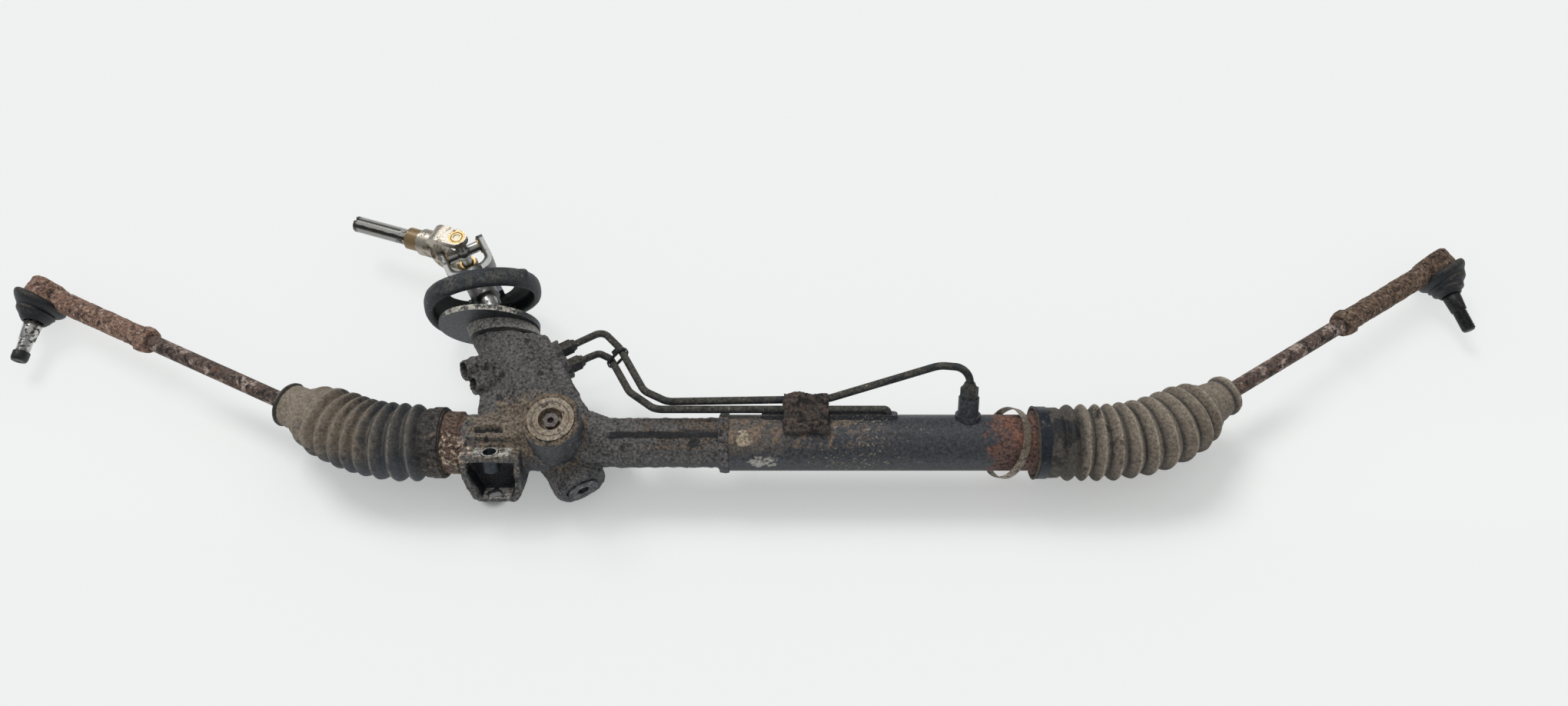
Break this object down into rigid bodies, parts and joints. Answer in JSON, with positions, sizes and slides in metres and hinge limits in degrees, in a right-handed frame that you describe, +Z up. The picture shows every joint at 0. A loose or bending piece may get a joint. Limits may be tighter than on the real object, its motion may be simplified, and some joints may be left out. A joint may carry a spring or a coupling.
{
  "type": "steering rack",
  "caption": "Hydraulic power steering rack of a car: cast housing with angled valve tower and universal joint, steel cylinder, bellows, and tie rods with ball joint ends.",
  "frame": {"origin": "middle of the mounting bolt's bore, in the box bracket at the left", "axes": "+X along the rack bar towards the cylinder end, +Y to the back, where the steering column is, +Z up from the floor that the rack lies on"},
  "size_m": [1.3423, 0.2932, 0.1059],
  "materials": {
    "housing_casting": "rough sand or die casting under a film of oily road dirt",
    "cover_casting": "cast, with a thinner film of dirt",
    "yoke_cap_metal": "turned, oxidised brown with a brighter rim",
    "machined_steel": "ground and turned",
    "spring_steel": "drawn wire",
    "disc_steel": "pressed sheet, oily, with a worn bright rim",
    "cylinder_steel": "black paint, dusty, rusted near the right end",
    "rusty_steel": "forged and drawn steel with a skin of brown rust",
    "band_steel": "strip steel, dull and dirty",
    "pipe_steel": "olive-black coating on drawn pipe",
    "forged_yoke_steel": "forged, satin, with tan dirt",
    "polished_shaft": "ground bright",
    "stud_steel": "ground taper and rolled thread",
    "bellows_rubber": "moulded, dry and dusty",
    "dark_rubber": "moulded, matt",
    "liner_plastic": "moulded",
    "tie_plastic": "moulded"
  },
  "bodies": {
    "housing": {"rack_housing": "housing_casting", "mount_bush": "machined_steel", "valve_cover": "cover_casting", "input_seal": "dark_rubber", "yoke_cover": "yoke_cap_metal", "yoke_adjuster": "machined_steel", "yoke_spring": "spring_steel", "rack_guide": "yoke_cap_metal", "pinion_cap": "machined_steel", "lower_bearing": "machined_steel", "upper_bearing_outer": "machined_steel", "dust_disc": "disc_steel", "bulkhead_seal": "dark_rubber", "cylinder_tube": "cylinder_steel", "end_cap": "rusty_steel", "end_bush": "liner_plastic", "rack_seal": "dark_rubber", "transfer_pipe_a": "pipe_steel", "transfer_pipe_b": "pipe_steel", "pipe_nuts": "pipe_steel", "pipe_clamp": "housing_casting", "zip_tie": "tie_plastic", "loose_band": "band_steel", "bellows_left": "bellows_rubber", "bellows_right": "bellows_rubber", "band_clamp_left": "band_steel", "band_clamp_right": "band_steel"},
    "pinion": {"pinion": "machined_steel", "upper_bearing_inner": "machined_steel", "valve_sleeve": "machined_steel", "torsion_bar": "machined_steel"},
    "input": {"input_shaft": "machined_steel", "lower_yoke": "forged_yoke_steel", "pinch_bolt": "forged_yoke_steel", "lower_cups": "forged_yoke_steel"},
    "cross": {"joint_cross": "machined_steel"},
    "column": {"upper_yoke": "forged_yoke_steel", "upper_cups": "forged_yoke_steel", "column_shaft": "polished_shaft"},
    "rack": {"rack_bar": "machined_steel", "piston": "machined_steel", "piston_ring": "liner_plastic", "inner_socket_left": "rusty_steel", "inner_socket_right": "rusty_steel"},
    "seat_left": {"inner_seat_left": "liner_plastic"},
    "tie_rod_left": {"tie_rod_left": "rusty_steel", "lock_nut_left": "rusty_steel", "outer_end_left": "rusty_steel", "dust_boot_left": "dark_rubber"},
    "liner_left": {"outer_seat_left": "liner_plastic"},
    "stud_left": {"ball_stud_left": "stud_steel"},
    "seat_right": {"inner_seat_right": "liner_plastic"},
    "tie_rod_right": {"tie_rod_right": "rusty_steel", "lock_nut_right": "rusty_steel", "outer_end_right": "rusty_steel", "dust_boot_right": "dark_rubber"},
    "liner_right": {"outer_seat_right": "liner_plastic"},
    "stud_right": {"ball_stud_right": "stud_steel"}
  },
  "joints": [
    {"name": "rack_slide", "type": "slide", "parent": "housing", "child": "rack", "axis": [1, 0, 0], "range_m": [-0.094, 0.054], "deforming": ["bellows_left", "bellows_right"]},
    {"name": "pinion_spin", "type": "hinge", "parent": "housing", "child": "pinion", "pos_m": [0.052, 0.03093, -0.01777], "axis": [-0.4848, 0.8734, 0.0458], "range_deg": [-771, 443]},
    {"name": "valve_twist", "type": "hinge", "parent": "pinion", "child": "input", "pos_m": [0.052, 0.03093, -0.01777], "axis": [-0.4848, 0.8734, 0.0458], "range_deg": [-4, 4], "stiffness_Nm_per_rad": 70},
    {"name": "cross_pitch", "type": "hinge", "parent": "input", "child": "cross", "pos_m": [-0.05757, 0.22833, -0.00743], "axis": [0.8746, 0.4841, 0.0254], "range_deg": [-20, 20]},
    {"name": "shaft_swing", "type": "hinge", "parent": "cross", "child": "column", "pos_m": [-0.05757, 0.22833, -0.00743], "axis": [-0.0614, 0.0586, 0.9964], "range_deg": [-84.8, 3.2]},
    {"name": "swing_left", "type": "hinge", "parent": "rack", "child": "seat_left", "pos_m": [-0.1025, 0.03012, -0.00229], "axis": [0, 0, 1], "range_deg": [-10.1, 61.9], "deforming": ["bellows_left"]},
    {"name": "lift_left", "type": "hinge", "parent": "seat_left", "child": "tie_rod_left", "pos_m": [-0.1025, 0.03012, -0.00229], "axis": [-0.4368, -0.8996, 0], "range_deg": [-16, 12], "deforming": ["bellows_left"]},
    {"name": "tilt_left", "type": "hinge", "parent": "tie_rod_left", "child": "liner_left", "pos_m": [-0.44476, 0.19081, -0.02876], "axis": [-0.1212, -0.0955, 0.988], "range_deg": [-45, 5], "deforming": ["dust_boot_left"]},
    {"name": "spin_left", "type": "hinge", "parent": "liner_left", "child": "stud_left", "pos_m": [-0.44476, 0.19081, -0.02876], "axis": [-0.0915, -0.99, -0.1069], "continuous": true},
    {"name": "swing_right", "type": "hinge", "parent": "rack", "child": "seat_right", "pos_m": [0.5405, 0.03012, -0.00229], "axis": [0, 0, 1], "range_deg": [-68.4, 3.6], "deforming": ["bellows_right"]},
    {"name": "lift_right", "type": "hinge", "parent": "seat_right", "child": "tie_rod_right", "pos_m": [0.5405, 0.03012, -0.00229], "axis": [-0.5358, 0.8443, 0], "range_deg": [-16, 12], "deforming": ["bellows_right"]},
    {"name": "tilt_right", "type": "hinge", "parent": "tie_rod_right", "child": "liner_right", "pos_m": [0.84974, 0.22051, -0.02774], "axis": [-0.1313, 0.0812, -0.988], "range_deg": [-43, 7], "deforming": ["dust_boot_right"]},
    {"name": "spin_right", "type": "hinge", "parent": "liner_right", "child": "stud_right", "pos_m": [0.84974, 0.22051, -0.02774], "axis": [0.2368, -0.9652, -0.1107], "continuous": true}
  ],
  "couplings": [
    {"joint": "pinion_spin", "follows": "rack_slide", "rad_per_m": 142.86}
  ]
}
